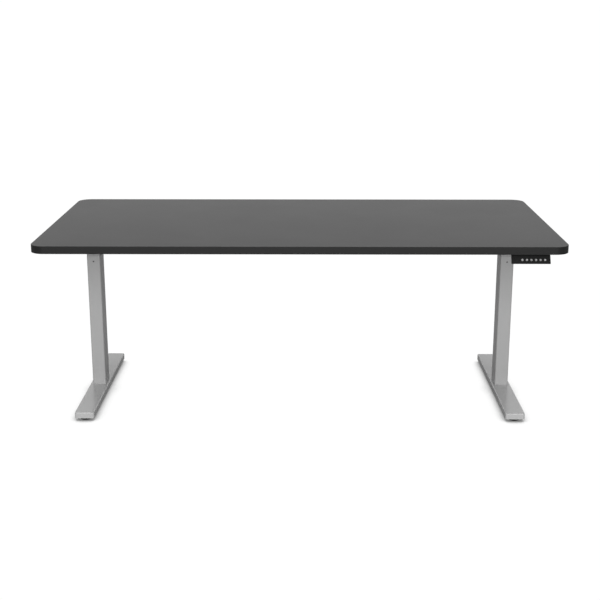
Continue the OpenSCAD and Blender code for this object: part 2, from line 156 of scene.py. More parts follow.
def soften(points, closed=False, steps=3):
    """Turns a line of (across, along, radius) points into one with an arc at each corner."""
    line = []
    for i, (u, v, radius) in enumerate(points):
        here = Vector((u, v))
        if not radius or (not closed and i in (0, len(points) - 1)):
            line.append((u, v))
            continue
        back = Vector(points[i - 1][:2]) - here
        ahead = Vector(points[(i + 1) % len(points)][:2]) - here
        half = back.angle(ahead) / 2
        reach = min(radius / math.tan(half), 0.49 * back.length, 0.49 * ahead.length)
        start, end = back.normalized() * reach, ahead.normalized() * reach
        hub = (start + end).normalized() * reach / math.cos(half)
        arm, last = start - hub, end - hub
        sweep = math.atan2(arm.x * last.y - arm.y * last.x, arm.dot(last))
        for step in range(steps + 1):
            turn = sweep * step / steps
            c, s = math.cos(turn), math.sin(turn)
            line.append((here.x + hub.x + arm.x * c - arm.y * s, here.y + hub.y + arm.x * s + arm.y * c))
    return line


# ---------- solids ----------

def skin(bm, rings, loop=False):
    """Skins rings of equally many points, capped at both ends, or joined end to end in a loop."""
    rows = [[bm.verts.new(p) for p in points] for points in rings]
    pairs = list(zip(rows, rows[1:])) + ([(rows[-1], rows[0])] if loop else [])
    for under, over in pairs:
        for i in range(len(under)):
            j = (i + 1) % len(under)
            bm.faces.new((under[i], under[j], over[j], over[i]))
    if not loop:
        bm.faces.new(list(reversed(rows[0])))
        bm.faces.new(rows[-1])


def lift(outline, height, place):
    return [place @ Vector((x, y, height)) for x, y in outline]


def stack(bm, width, depth, corner, profile, place=HERE, loop=False, steps=6):
    """Round-cornered rectangles along +Z: profile gives each one's inset and height."""
    skin(bm, [lift(rounded_rectangle(width - 2 * inset, depth - 2 * inset,
                                     max(corner - inset, TIGHT), steps), z, place)
              for inset, z in profile], loop)


def lathe(bm, profile, place=HERE, loop=False, count=40):
    """A turned solid round +Z: profile gives each ring's radius and height."""
    skin(bm, [lift(ring(radius, count), z, place) for radius, z in profile], loop)


def prism(bm, outline, start, end, place=HERE):
    """An outline drawn out along +Z."""
    skin(bm, [lift(outline, start, place), lift(outline, end, place)])


def block(bm, width, depth, start, end, place=HERE, corner=0.5 * MM, edge=0.4 * MM):
    """A small block with eased edges."""
    inner = min(width, depth) * 0.3
    profile = soften([(inner, start, 0), (0, start, edge), (0, end, edge), (inner, end, 0)], steps=2)
    stack(bm, width, depth, corner, profile, place, steps=3)


def shell(bm, width, depth, corner, wall, back_wall, length, bend, place=HERE):
    """A box of sheet along +Z, open at 0, with a back wall at length and round bends."""
    stack(bm, width, depth, corner, soften([
        (wall + 8 * MM, length - back_wall, 0), (wall, length - back_wall, bend - wall),
        (wall, 0, 0.6 * MM), (0, 0, 0.6 * MM), (0, length, bend), (8 * MM, length, 0)]), place)


def screw_thread(bm, core, crest, pitch, start, end, place=HERE, starts=1, count=24, rows=8):
    """A threaded rod along +Z, with the flat crests of a power screw."""
    total = max(2, round((end - start) / pitch * rows))
    rings = []
    for row in range(total + 1):
        z = start + (end - start) * row / total
        points = []
        for i in range(count):
            phase = (z / pitch - starts * i / count) % 1
            flank = min(1.0, max(0.0, 2 - abs(phase - 0.5) * 6))
            fade = min(1.0, (z - start) / pitch, (end - z) / pitch)
            radius = core + (crest - core) * flank * max(0.0, fade)
            turn = math.tau * i / count
            points.append((radius * math.cos(turn), radius * math.sin(turn)))
        rings.append(lift(points, z, place))
    skin(bm, rings)


def socket_screw(bm, place, head, height, key, reach, shank, dome=0.35):
    """A button-head screw: its head rises along +Z from the seat, its shank goes down."""
    rings = [lift(ring(r, 24), z, place) for r, z in soften([
        (shank * 0.5, -reach, 0), (shank * 0.7, -reach, 0), (shank, -reach + shank * 0.4, 0),
        (shank, 0, 0), (head * 0.98, 0, 0.15 * MM), (head, height * 0.25, 0.3 * MM),
        (head * (1 - dome), height, head * 0.5), (key * 1.35, height, 0)])]
    rings.append(lift(hexagon(key, 24), height - 0.1 * MM, place))
    rings.append(lift(hexagon(key * 0.97, 24), height * 0.35, place))
    skin(bm, rings)


def pan_screw(bm, place, head, height, shank, reach):
    """A pan-head screw with a cross recess: the head rises along +Z, the shank goes down."""
    rings = [lift(ring(r, 24), z, place) for r, z in soften([
        (shank * 0.15, -reach, 0), (shank, -reach + 3 * shank, 0), (shank, 0, 0),
        (head, 0, 0.2 * MM), (head, height * 0.45, 0.6 * MM), (head * 0.68, height, 1.2 * MM),
        (head * 0.6, height, 0)])]
    rings.append(lift(cross(head * 0.5, head * 0.13), height - 0.05 * MM, place))
    rings.append(lift(cross(head * 0.3, head * 0.08), height * 0.25, place))
    skin(bm, rings)


# ---------- pieces ----------

def bare_object(name, draw):
    """An object with the mesh that draw makes, with its faces turned outwards."""
    bm = bmesh.new()
    draw(bm)
    bmesh.ops.recalc_face_normals(bm, faces=bm.faces)
    mesh = bpy.data.meshes.new(name)
    bm.to_mesh(mesh)
    bm.free()
    made = bpy.data.objects.new(name, mesh)
    bpy.context.scene.collection.objects.link(made)
    return made


def carve(body, draw):
    """Cuts the solid that draw makes out of body's mesh."""
    cutter = bare_object("cutter", draw)
    cut = body.modifiers.new("cut", "BOOLEAN")
    cut.object = cutter
    cut.operation = "DIFFERENCE"
    cut.solver = "EXACT"
    bpy.context.view_layer.update()
    graph = bpy.context.evaluated_depsgraph_get()
    result = bpy.data.meshes.new_from_object(body.evaluated_get(graph))
    body.modifiers.clear()
    body.data = result
    bpy.data.objects.remove(cutter)


def smooth_but_creased(body):
    """Shades a mesh smooth, with a sharp edge wherever its faces meet at more than CREASE."""
    bm = bmesh.new()
    bm.from_mesh(body.data)
    for face in bm.faces:
        face.smooth = True
    for edge in bm.edges:
        edge.smooth = len(edge.link_faces) == 2 and edge.calc_face_angle() < CREASE
    bm.to_mesh(body.data)
    bm.free()


def piece(name, draw, material, body, stands_for=(), cuts=(), eased=0.0):
    """Makes one piece of the desk: drawn, cut, eased, painted and put on its body."""
    made = bare_object(name, draw)
    for cut in cuts:
        carve(made, cut)
    smooth_but_creased(made)
    if eased:
        bevel = made.modifiers.new("eased edges", "BEVEL")
        bevel.width = eased
        bevel.segments = 3
        bevel.limit_method = "ANGLE"
        bevel.angle_limit = CREASE
    flat = made.modifiers.new("even faces", "WEIGHTED_NORMAL")
    flat.keep_sharp = True
    made.data.materials.append(material)
    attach(made, body)
    if stands_for:
        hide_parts(*stands_for)


# ---------- shared surface effects ----------

def group(name, inputs, outputs):
    """A new shader group with float inputs of the given defaults and float outputs."""
    tree = bpy.data.node_groups.new(name, "ShaderNodeTree")
    for label, value in inputs.items():
        socket = tree.interface.new_socket(label, in_out="INPUT", socket_type="NodeSocketFloat")
        socket.default_value = value
    for label in outputs:
        tree.interface.new_socket(label, in_out="OUTPUT", socket_type="NodeSocketFloat")
    return tree, tree.nodes.new("NodeGroupInput").outputs, tree.nodes.new("NodeGroupOutput").inputs


def node(tree, kind, inputs=None, **settings):
    """Adds a node, with values or other nodes' sockets on its inputs."""
    made = tree.nodes.new(kind)
    for key, value in settings.items():
        setattr(made, key, value)
    for key, value in (inputs or {}).items():
        if isinstance(value, bpy.types.NodeSocket):
            tree.links.new(value, made.inputs[key])
        else:
            made.inputs[key].default_value = value
    return made


def math_node(tree, operation, first, second=0.0):
    return node(tree, "ShaderNodeMath", {0: first, 1: second}, operation=operation).outputs[0]


def ramp(tree, value, start, end, low_value=0.0, high_value=1.0):
    """Maps value from start..end to low_value..high_value, and holds it there."""
    return node(tree, "ShaderNodeMapRange", {"Value": value, "From Min": start, "From Max": end,
                                             "To Min": low_value, "To Max": high_value}).outputs[0]


def make_fine_grain():
    """A pebbled skin: small round bumps of a given size in millimetres, and scattered specks."""
    tree, given, out = group("fine_grain", {"Size": 0.8}, ["Height", "Specks"])
    spot = node(tree, "ShaderNodeTexCoord").outputs["Object"]
    scale = math_node(tree, "DIVIDE", 1000.0, given["Size"])
    bumps = node(tree, "ShaderNodeTexVoronoi", {"Vector": spot, "Scale": scale, "Smoothness": 1.0},
                 feature="SMOOTH_F1")
    drift = node(tree, "ShaderNodeTexNoise", {"Vector": spot, "Scale": scale, "Detail": 3.0,
                                              "Roughness": 0.6})
    mixed = math_node(tree, "ADD", bumps.outputs["Distance"], drift.outputs["Fac"])
    tree.links.new(mixed, out["Height"])
    tree.links.new(ramp(tree, drift.outputs["Fac"], 0.35, 0.65), out["Specks"])


def make_mottle():
    """Slow cloudy variation of a given size in metres, from 0 to 1."""
    tree, given, out = group("mottle", {"Size": 0.2}, ["Cloud"])
    spot = node(tree, "ShaderNodeTexCoord").outputs["Object"]
    scale = math_node(tree, "DIVIDE", 1.0, given["Size"])
    cloud = node(tree, "ShaderNodeTexNoise", {"Vector": spot, "Scale": scale, "Detail": 4.0,
                                              "Roughness": 0.55, "Distortion": 0.4})
    tree.links.new(ramp(tree, cloud.outputs["Fac"], 0.3, 0.7), out["Cloud"])


def make_painted_edge_highlight():
    """1 along outside edges, where a painted highlight goes, broken up by a fine noise."""
    tree, given, out = group("painted_edge_highlight", {"Reach": 0.001}, ["Rub"])
    bevelled = node(tree, "ShaderNodeBevel", {"Radius": given["Reach"]}, samples=4)
    true = node(tree, "ShaderNodeNewGeometry").outputs["Normal"]
    dot = node(tree, "ShaderNodeVectorMath", {0: bevelled.outputs[0], 1: true}, operation="DOT_PRODUCT")
    edge = ramp(tree, dot.outputs["Value"], 0.995, 0.9)
    spot = node(tree, "ShaderNodeTexCoord").outputs["Object"]
    patch = node(tree, "ShaderNodeTexNoise", {"Vector": spot, "Scale": 60.0, "Detail": 5.0})
    tree.links.new(math_node(tree, "MULTIPLY", edge, ramp(tree, patch.outputs["Fac"], 0.35, 0.6)),
                   out["Rub"])


def make_brushing():
    """Fine scratches drawn out along one axis: a bigger number on an axis packs them closer there."""
    tree, given, out = group("brushing", {"Along X": 400.0, "Along Y": 400.0, "Along Z": 20.0},
                             ["Height", "Streaks"])
    spot = node(tree, "ShaderNodeTexCoord").outputs["Object"]
    pull = node(tree, "ShaderNodeCombineXYZ", {"X": given["Along X"], "Y": given["Along Y"],
                                               "Z": given["Along Z"]})
    drawn = node(tree, "ShaderNodeVectorMath", {0: spot, 1: pull.outputs[0]}, operation="MULTIPLY")
    lines = node(tree, "ShaderNodeTexNoise", {"Vector": drawn.outputs[0], "Scale": 4.0, "Detail": 6.0,
                                              "Roughness": 0.65})
    tree.links.new(lines.outputs["Fac"], out["Height"])
    tree.links.new(ramp(tree, lines.outputs["Fac"], 0.35, 0.65), out["Streaks"])


for make in (make_fine_grain, make_mottle, make_painted_edge_highlight, make_brushing):
    make()


# ---------- finishes ----------

class Finish:
    """A material under construction, with short calls for what the finishes share."""

    def __init__(self, name, metallic=0.0, specular=0.5, coat=0.0):
        self.material = bpy.data.materials.new(name)
        self.material.use_nodes = True
        self.tree = self.material.node_tree
        self.shader = self.tree.nodes["Principled BSDF"]
        self.shader.inputs["Metallic"].default_value = metallic
        self.shader.inputs["Specular IOR Level"].default_value = specular
        self.shader.inputs["Coat Weight"].default_value = coat
        self.shader.inputs["Coat Roughness"].default_value = 0.2

    def effect(self, name, **values):
        """Places a shared group with its own values, and gives its outputs."""
        made = self.tree.nodes.new("ShaderNodeGroup")
        made.node_tree = bpy.data.node_groups[name]
        for label, value in values.items():
            made.inputs[label.replace("_", " ")].default_value = value
        return made.outputs

    def colour(self, source):
        self.tree.links.new(source, self.shader.inputs["Base Color"])

    def roughness(self, mask, smooth, rough):
        self.tree.links.new(ramp(self.tree, mask, 0, 1, smooth, rough), self.shader.inputs["Roughness"])

    def relief(self, height, depth, strength=1.0, under=None):
        """Bumps the surface by height times depth metres, over another relief if one is given."""
        bump = node(self.tree, "ShaderNodeBump", {"Height": height, "Distance": depth,
                                                  "Strength": strength})
        if under is not None:
            self.tree.links.new(under, bump.inputs["Normal"])
        self.tree.links.new(bump.outputs[0], self.shader.inputs["Normal"])
        return bump.outputs[0]


def grey(level, warm=0.0):
    """A near-neutral linear colour, tipped a little towards warm."""
    return (level * (1 + warm), level, level * (1 - warm), 1.0)


def mix_colour(made, mask, first, second):
    mixed = made.tree.nodes.new("ShaderNodeMix")
    mixed.data_type = "RGBA"
    factor, a, b = (next(s for s in mixed.inputs if s.identifier == key)
                    for key in ("Factor_Float", "A_Color", "B_Color"))
    made.tree.links.new(mask, factor)
    for socket, value in ((a, first), (b, second)):
        if isinstance(value, bpy.types.NodeSocket):
            made.tree.links.new(value, socket)
        else:
            socket.default_value = value
    return next(s for s in mixed.outputs if s.identifier == "Result_Color")


def powder_coat(name, tone, smooth=0.29, rough=0.33, specular=0.5):
    """Grey powder coat: fine orange peel, slight clouding and a painted highlight that makes the edges a
    little paler.
    """
    made = Finish(name, specular=specular)
    grain = made.effect("fine_grain", Size=1.1)
    cloud = made.effect("mottle", Size=0.16)["Cloud"]
    highlight = made.effect("painted_edge_highlight", Reach=0.0012)["Rub"]
    ground = mix_colour(made, cloud, grey(tone * 0.97), grey(tone * 1.03))
    specked = mix_colour(made, grain["Specks"], ground, grey(tone * 0.99))
    # painted highlight: the edges a little paler, as where light catches them
    made.colour(mix_colour(made, highlight, specked, grey(tone * 1.12)))
    made.roughness(cloud, smooth, rough)
    made.relief(grain["Height"], 0.00004, 0.4)
    return made.material


def laminate(name, tone):
    """Black worktop laminate: a pebbled matt skin with faint paler specks."""
    made = Finish(name, specular=0.055)
    grain = made.effect("fine_grain", Size=0.7)
    cloud = made.effect("mottle", Size=0.3)["Cloud"]
    ground = mix_colour(made, cloud, grey(tone * 0.96), grey(tone * 1.04))
    made.colour(mix_colour(made, grain["Specks"], ground, grey(tone * 1.25)))
    made.roughness(cloud, 0.31, 0.33)
    made.relief(grain["Height"], 0.00004, 0.4)
    return made.material


def edge_banding(name, tone):
    """Plastic edge band: drawn lines round the panel and a painted highlight on its corners."""
    made = Finish(name, specular=0.14)
    lines = made.effect("brushing", Along_X=30.0, Along_Y=30.0, Along_Z=900.0)
    highlight = made.effect("painted_edge_highlight", Reach=0.0012)["Rub"]
    ground = mix_colour(made, lines["Streaks"], grey(tone * 0.9), grey(tone * 1.1))
    # painted highlight: the band's edges and corners paler
    made.colour(mix_colour(made, highlight, ground, grey(tone * 1.7)))
    made.roughness(lines["Streaks"], 0.4, 0.5)
    made.relief(lines["Height"], 0.00003, 0.5)
    return made.material


def moulded(name, tone, size=0.5, smooth=0.45, rough=0.58, warm=0.0, specular=0.4):
    """Moulded plastic with a spark-eroded skin."""
    made = Finish(name, specular=specular)
    grain = made.effect("fine_grain", Size=size)
    cloud = made.effect("mottle", Size=0.05)["Cloud"]
    highlight = made.effect("painted_edge_highlight", Reach=0.0006)["Rub"]
    ground = mix_colour(made, cloud, grey(tone * 0.94, warm), grey(tone * 1.06, warm))
    specked = mix_colour(made, grain["Specks"], ground, grey(tone * 1.1, warm))
    # painted highlight: the edges paler
    made.colour(mix_colour(made, highlight, specked, grey(tone * 1.3, warm)))
    made.roughness(grain["Specks"], smooth, rough)
    made.relief(grain["Height"], 0.00004, 0.5)
    return made.material


def rubber(name, tone):
    """Matt rubber with a bloom of paler dust."""
    made = Finish(name, specular=0.25)
    grain = made.effect("fine_grain", Size=0.4)
    cloud = made.effect("mottle", Size=0.02)["Cloud"]
    made.colour(mix_colour(made, cloud, grey(tone), grey(tone * 1.8, 0.03)))
    made.roughness(grain["Specks"], 0.72, 0.86)
    made.relief(grain["Height"], 0.00005, 0.6)
    return made.material


def metal(name, colour, smooth, rough, stretch, metallic=1.0):
    """Machined metal with drawn-out tool marks and handling stains."""
    made = Finish(name, metallic=metallic)
    marks = made.effect("brushing", Along_X=stretch[0], Along_Y=stretch[1], Along_Z=stretch[2])
    cloud = made.effect("mottle", Size=0.03)["Cloud"]
    dull = tuple(c * 0.82 for c in colour) + (1.0,)
    bright = tuple(c * 1.06 for c in colour) + (1.0,)
    stained = mix_colour(made, cloud, dull, bright)
    made.colour(mix_colour(made, marks["Streaks"], stained, tuple(colour) + (1.0,)))
    made.roughness(marks["Streaks"], smooth, rough)
    made.relief(marks["Height"], 0.00003, 0.4)
    return made.material


def cast_metal(name, tone):
    """Sand-blasted cast aluminium with clouded oxide."""
    made = Finish(name, metallic=0.85)
    grain = made.effect("fine_grain", Size=0.9)
    cloud = made.effect("mottle", Size=0.025)["Cloud"]
    highlight = made.effect("painted_edge_highlight", Reach=0.0008)["Rub"]
    ground = mix_colour(made, cloud, grey(tone * 0.85), grey(tone * 1.08))
    # painted highlight: the edges paler
    made.colour(mix_colour(made, highlight, ground, grey(tone * 1.35)))
    made.roughness(grain["Specks"], 0.42, 0.6)
    made.relief(grain["Height"], 0.00012, 0.7)
    return made.material


def circuit_board(name):
    """Green solder mask over faint copper tracks."""
    made = Finish(name, specular=0.6)
    cloud = made.effect("mottle", Size=0.012)["Cloud"]
    spot = node(made.tree, "ShaderNodeTexCoord").outputs["Object"]
    tracks = node(made.tree, "ShaderNodeTexBrick", {"Vector": spot, "Scale": 160.0, "Mortar Size": 0.06})
    lines = ramp(made.tree, tracks.outputs["Fac"], 0, 1)
    ground = mix_colour(made, cloud, (0.012, 0.10, 0.035, 1), (0.02, 0.14, 0.05, 1))
    made.colour(mix_colour(made, lines, ground, (0.03, 0.22, 0.07, 1)))
    made.roughness(cloud, 0.25, 0.4)
    made.relief(lines, 0.00004, 0.5)
    return made.material


def smoked_window(name):
    """Dark smoked plastic over the display, faintly clouded."""
    made = Finish(name, specular=0.12)
    cloud = made.effect("mottle", Size=0.01)["Cloud"]
    made.colour(mix_colour(made, cloud, grey(0.006), grey(0.009)))
    made.roughness(cloud, 0.1, 0.2)
    return made.material


PAINT = powder_coat("frame_powder_coat", 0.385)
# the feet's coat is the frame's grey made paler, painted light for the extra light that reaches the feet;
# it is also glossier
FOOT_PAINT_PAINTED_LIGHTER = powder_coat("foot_powder_coat_painted_lighter", 0.47, smooth=0.2, rough=0.24, specular=0.6)
LAMINATE = laminate("black_laminate", 0.012)
BANDING = edge_banding("black_edge_band", 0.012)
STEEL = metal("zinc_plated_steel", (0.56, 0.57, 0.58), 0.22, 0.42, (400.0, 400.0, 30.0))
DARK_STEEL = metal("blackened_steel", (0.1, 0.1, 0.1), 0.6, 0.75, (400.0, 400.0, 400.0), metallic=0.3)
LEAD_SCREW = metal("oiled_screw_steel", (0.38, 0.38, 0.39), 0.18, 0.34, (500.0, 500.0, 500.0))
BRASS = metal("worm_brass", (0.68, 0.47, 0.18), 0.2, 0.38, (30.0, 500.0, 500.0))
CASTING = cast_metal("cast_aluminium", 0.5)
MOTOR_PAINT = powder_coat("black_motor_paint", 0.02)
BLACK = moulded("black_moulded_plastic", 0.01, smooth=0.55, rough=0.68, specular=0.06)
BUSH = moulded("grey_collar_plastic", 0.3, size=0.8)
NYLON = moulded("white_nylon", 0.62, size=0.6, warm=0.05)
BUTTON = moulded("grey_button_plastic", 0.19, size=0.3, smooth=0.45, rough=0.6)
SYMBOL = moulded("white_symbol_print", 0.7, size=0.2)
PAD = rubber("black_pad_rubber", 0.008)
BOARD = circuit_board("green_circuit_board")
WINDOW = smoked_window("smoked_window")


# ---------- worktop ----------

def worktop():
    lo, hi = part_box("tabletop")
    width, depth = hi.x - lo.x, hi.y - lo.y
    place = standing_on("tabletop")
    ease = 0.25 * MM

    def panel(bm):
        stack(bm, width - 2 * BAND, depth - 2 * BAND, TOP_CORNER - BAND, soften([
            (30 * MM, lo.z, 0), (0, lo.z, ease), (0, hi.z, ease), (30 * MM, hi.z, 0)]),
            place, steps=20)

    def band(bm):
        stack(bm, width, depth, TOP_CORNER, soften([
            (0, lo.z, 0.7 * MM), (0, hi.z, 1.1 * MM), (BAND, hi.z, ease), (BAND, lo.z, ease)],
            closed=True, steps=4), place, loop=True, steps=20)

    piece("worktop_panel", panel, LAMINATE, "top", ["tabletop"])
    piece("worktop_edge_band", band, BANDING, "top")


# ---------- columns ----------

def column_tube(side, name, body):
    """A rolled rectangular tube of the column, from its node's box."""
    lo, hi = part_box(f"{side}_{name}_tube")
    size = hi - lo

    def draw(bm):
        stack(bm, size.x, size.y, TUBE_CORNERS[name], soften([
            (0, lo.z, 0.4 * MM), (0, hi.z, 0.5 * MM), (TUBE_WALL, hi.z, 0.5 * MM),
            (TUBE_WALL, lo.z, 0.4 * MM)], closed=True, steps=2),
            standing_on(f"{side}_{name}_tube"), loop=True, steps=8)

    piece(f"{side}_{name}_column", draw, PAINT, body, [f"{side}_{name}_tube"])


def column_bush(side, name, around, body):
    """A plastic liner with the rim that caps its tube, over a fine groove."""
    lo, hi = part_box(f"{side}_{name}_bush")
    tube = span(f"{side}_{around}_tube")
    flange, bore = 0.3 * MM, TUBE_WALL + LINER_WALL
    seat = high(f"{side}_{around}_tube").z

    def draw(bm):
        stack(bm, tube.x, tube.y, TUBE_CORNERS[around], soften([
            (TUBE_WALL, lo.z, 0.2 * MM), (TUBE_WALL, seat, 0), (flange + 0.5 * MM, seat, 0),
            (flange, seat + 0.5 * MM, 0.2 * MM), (flange, hi.z, 0.6 * MM), (bore, hi.z, 0.3 * MM),
            (bore, lo.z, 0.2 * MM)], closed=True),
            standing_on(f"{side}_{name}_bush"), loop=True, steps=8)

    piece(f"{side}_{name}_guide_bush", draw, BUSH, body, [f"{side}_{name}_bush"])


def bush_screws():
    """The button-head screws that pin the lower bushes, in front and behind."""
    lo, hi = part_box("bush_screws")
    z = (lo.z + hi.z) / 2
    wall = span("left_outer_tube").y / 2
    seat = hi.y - 1.2 * MM

    def draw(bm):
        for side in LEGS:
            x = middle(f"{side}_outer_tube").x
            for end in (-1, 1):
                place = facing((x, end * seat, z), (1, 0, 0), (0, end, 0))
                socket_screw(bm, place, 3 * MM, 1.2 * MM, 1.3 * MM, seat - wall + 2.1 * MM, 2 * MM)

    piece("bush_pinning_screws", draw, DARK_STEEL, "base", ["bush_screws"])


# ---------- feet ----------

def foot(side):
    """A pressed steel foot, hollow underneath, with a threaded boss for each glide."""
    node_name = f"{side}_foot"
    lo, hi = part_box(node_name)
    size, place = hi - lo, standing_on(node_name)
    glide = span(f"front_{side}_glide").x / 2
    glide_y = high(f"back_{side}_glide").y - glide

    def draw(bm):
        shell(bm, size.x, size.y, FOOT_CORNER, FOOT_SKIN, FOOT_SKIN, size.z, 3.6 * MM, place @ at(z=lo.z))
        for end in (-1, 1):
            lathe(bm, soften([
                (4.1 * MM, lo.z, 0.3 * MM), (10 * MM, lo.z, 0.8 * MM), (10 * MM, hi.z - FOOT_SKIN, 0),
                (4.1 * MM, hi.z - FOOT_SKIN, 0)], closed=True), place @ at(y=end * glide_y), loop=True)

    piece(f"{side}_foot_pressing", draw, FOOT_PAINT_PAINTED_LIGHTER, "base", [node_name])


def foot_bolts():
    """Socket bolts up through the feet into the base plates."""
    lo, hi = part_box("foot_bolts")
    seat = lo.z + 5 * MM

    def draw(bm):
        for side in LEGS:
            centre = middle(f"{side}_foot")
            for sx in (-1, 1):
                for sy in (-1, 1):
                    spot = (centre.x + sx * 13 * MM, centre.y + sy * 26 * MM, seat)
                    socket_screw(bm, facing(spot, (1, 0, 0), (0, 0, -1)), 6.5 * MM, 5 * MM,
                                 2.9 * MM, hi.z - seat, 3.9 * MM, dome=0.12)

    piece("foot_socket_bolts", draw, STEEL, "base", ["foot_bolts"])


def glide(end, side):
    """A levelling glide: round pad with a ribbed rim, spanner hexagon and threaded stud."""
    name = f"{end}_{side}_glide"
    lo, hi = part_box(name)
    radius, place = (hi.x - lo.x) / 2, standing_on(name)
    pad = 7 * MM

    def draw(bm):
        lathe(bm, soften([
            (4 * MM, 0, 0), (13 * MM, 0, 0.4 * MM), (13.8 * MM, 0.5 * MM, 0.2 * MM),
            (14.6 * MM, 0, 0.4 * MM), (radius - 1.2 * MM, 0, 0.8 * MM), (radius, 1.6 * MM, 0.8 * MM),
            (radius, pad - 2.2 * MM, 1.6 * MM), (radius - 3.5 * MM, pad, 1.5 * MM),
            (6 * MM, pad, 0)]), place, count=64)
        for i in range(32):
            turn = math.tau * i / 32
            spot = place @ Matrix.Rotation(turn, 4, "Z") @ at(radius - 0.55 * MM, 0)
            block(bm, 0.9 * MM, 1.6 * MM, 2.1 * MM, pad - 2.6 * MM, spot, 0.3 * MM, 0.2 * MM)
        skin(bm, [lift(hexagon(6.5 * MM - inset), z, place) for inset, z in soften([
            (2 * MM, pad - 0.5 * MM, 0), (0, pad - 0.5 * MM, 0), (0, pad + 3 * MM, 0.5 * MM),
            (2 * MM, pad + 3 * MM, 0)])])
        screw_thread(bm, 3.3 * MM, 3.95 * MM, 1.25 * MM, pad + 2 * MM, hi.z, place, count=20, rows=6)

    piece(f"{name}_pad", draw, PAD, name, [name])


# ---------- lifting drive inside the columns ----------

def drive(side):
    """The threads and gears of one column's drive, which its tubes and housings hide."""
    lo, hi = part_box(f"{side}_lower_screw")
    place = standing_on(f"{side}_lower_screw")

    def lower_screw(bm):
        lathe(bm, soften([(4 * MM, lo.z, 0), (14 * MM, lo.z, 0.5 * MM), (14 * MM, lo.z + 5 * MM, MM),
                          (5 * MM, lo.z + 5 * MM, 0)]), place)
        screw_thread(bm, 5.4 * MM, 7 * MM, 6 * MM, lo.z + 4.5 * MM, hi.z, place)

    top_lo, top_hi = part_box(f"{side}_upper_screw")
    wheel_lo, wheel_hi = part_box(f"{side}_worm_wheel")
    neck = low(f"{side}_gearbox").z - 7 * MM

    def upper_screw(bm):
        lathe(bm, soften([(11.3 * MM, top_lo.z, 0.2 * MM), (12.4 * MM, top_lo.z, 0.2 * MM),
                          (12.4 * MM, top_lo.z + 6 * MM, 0), (11.3 * MM, top_lo.z + 6 * MM, 0)],
                         closed=True), place, loop=True)
        screw_thread(bm, 12.2 * MM, 14 * MM, 8 * MM, top_lo.z + MM, neck, place, count=32)
        lathe(bm, soften([(4 * MM, neck - 0.5 * MM, 0), (8 * MM, neck - 0.5 * MM, 0),
                          (8 * MM, top_hi.z, 0.8 * MM), (3 * MM, top_hi.z, 0)]), place)

    teeth, root, tip = 30, 14.2 * MM, 16 * MM

    def worm_wheel(bm):
        def cog(height):
            lean = (height - wheel_lo.z) * 5.5
            points = []
            for tooth in range(teeth):
                for step, radius in ((0.0, root), (0.25, root), (0.4, tip), (0.75, tip)):
                    turn = math.tau * (tooth + step) / teeth + lean
                    points.append((radius * math.cos(turn), radius * math.sin(turn)))
            return points
        heights = [wheel_lo.z + (wheel_hi.z - wheel_lo.z) * i / 4 for i in range(5)]
        rings = [lift(cog(z), z, place) for z in heights]
        rings += [lift(ring(8 * MM, teeth * 4), z, place) for z in reversed(heights)]
        skin(bm, rings, loop=True)

    worm_lo, worm_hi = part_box(f"{side}_worm")
    axis = facing((worm_lo.x, middle(f"{side}_worm").y, middle(f"{side}_worm").z), (0, 1, 0), (1, 0, 0))
    hub = middle(f"{side}_gearbox").x - worm_lo.x
    length = worm_hi.x - worm_lo.x

    def worm(bm):
        lathe(bm, soften([(MM, 0, 0), (3 * MM, 0, 0.4 * MM), (3 * MM, length, 0.4 * MM),
                          (MM, length, 0)]), axis)
        screw_thread(bm, 3.4 * MM, 5 * MM, math.tau * 0.5 * MM, hub - 15 * MM, hub + 15 * MM, axis)

    piece(f"{side}_lower_lead_screw", lower_screw, LEAD_SCREW, "base",
          [f"{side}_lower_screw"])
    piece(f"{side}_upper_lead_screw", upper_screw, LEAD_SCREW, f"{side}_upper",
          [f"{side}_upper_screw"])
    piece(f"{side}_worm_gear", worm_wheel, NYLON, f"{side}_upper",
          [f"{side}_worm_wheel"])
    piece(f"{side}_worm_and_shaft", worm, BRASS, f"{side}_worm_shaft", [f"{side}_worm"])


def gearbox(side):
    """A cast housing in two halves, with a screw boss at each corner."""
    lo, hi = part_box(f"{side}_gearbox")
    size, place = hi - lo, standing_on(f"{side}_gearbox")
    split = (lo.z + hi.z) / 2

    def draw(bm):
        for bottom, top in ((lo.z, split - 0.4 * MM), (split + 0.4 * MM, hi.z)):
            stack(bm, size.x, size.y, 7 * MM, soften([
                (6 * MM, bottom, 0), (MM, bottom, 1.5 * MM), (MM, top, 1.2 * MM), (6 * MM, top, 0)]),
                place)
        stack(bm, size.x - 4 * MM, size.y - 4 * MM, 6 * MM, [(0, split - MM), (0, split + MM)], place)
        for sx in (-1, 1):
            for sy in (-1, 1):
                spot = place @ at(sx * (size.x / 2 - 6 * MM), sy * (size.y / 2 - 6 * MM))
                lathe(bm, soften([(2 * MM, lo.z + 3 * MM, 0), (6 * MM, lo.z + 3 * MM, MM),
                                  (6 * MM, hi.z - 3 * MM, MM), (2 * MM, hi.z - 3 * MM, 0)]), spot)

    piece(f"{side}_gear_housing", draw, CASTING, "top", [f"{side}_gearbox"])


